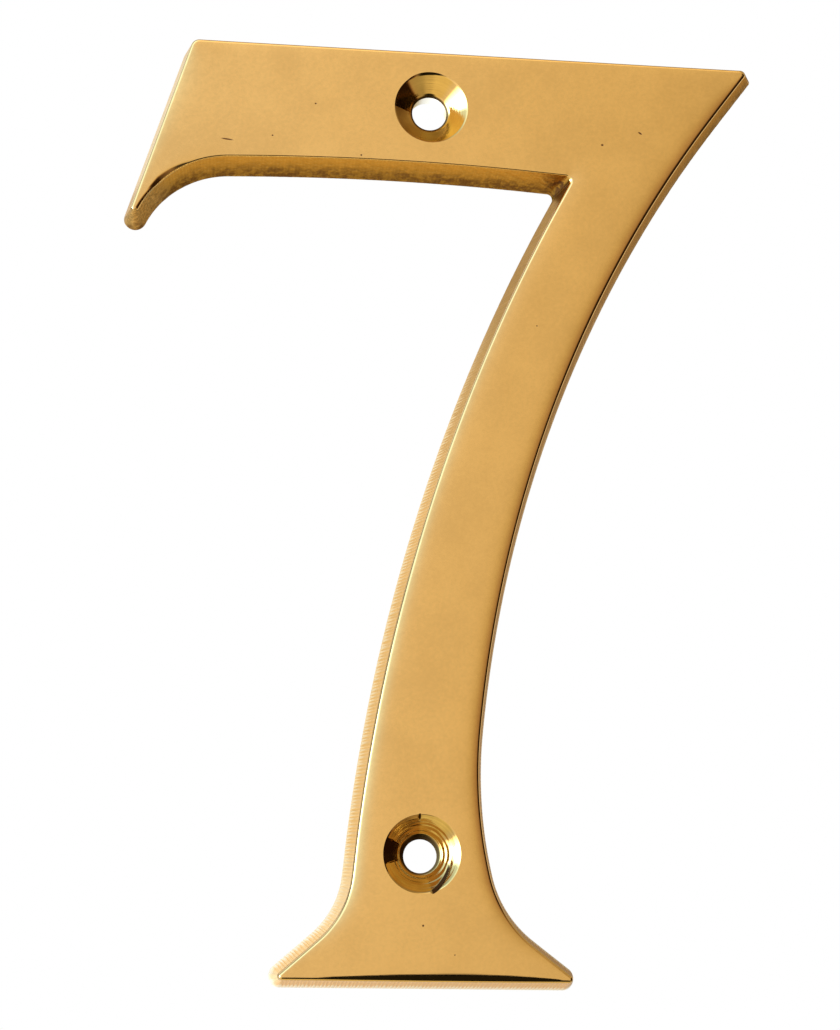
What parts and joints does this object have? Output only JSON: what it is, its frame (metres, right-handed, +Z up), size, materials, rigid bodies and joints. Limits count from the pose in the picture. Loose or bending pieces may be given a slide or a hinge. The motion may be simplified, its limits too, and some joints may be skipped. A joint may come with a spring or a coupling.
{
  "type": "door number",
  "caption": "Cast brass numeral seven with a polished face, drafted walls and countersunk screw holes, for marking a door or a house.",
  "frame": {"origin": "on the flat back, midway between the two screw holes", "axes": "+X to the viewer's right, +Y from the polished face into the door, +Z up the numeral"},
  "size_m": [0.07, 0.0045, 0.102],
  "materials": {
    "polished_brass": "polished face, as-cast walls"
  },
  "bodies": {
    "root": {"numeral_seven": "polished_brass"}
  },
  "joints": []
}
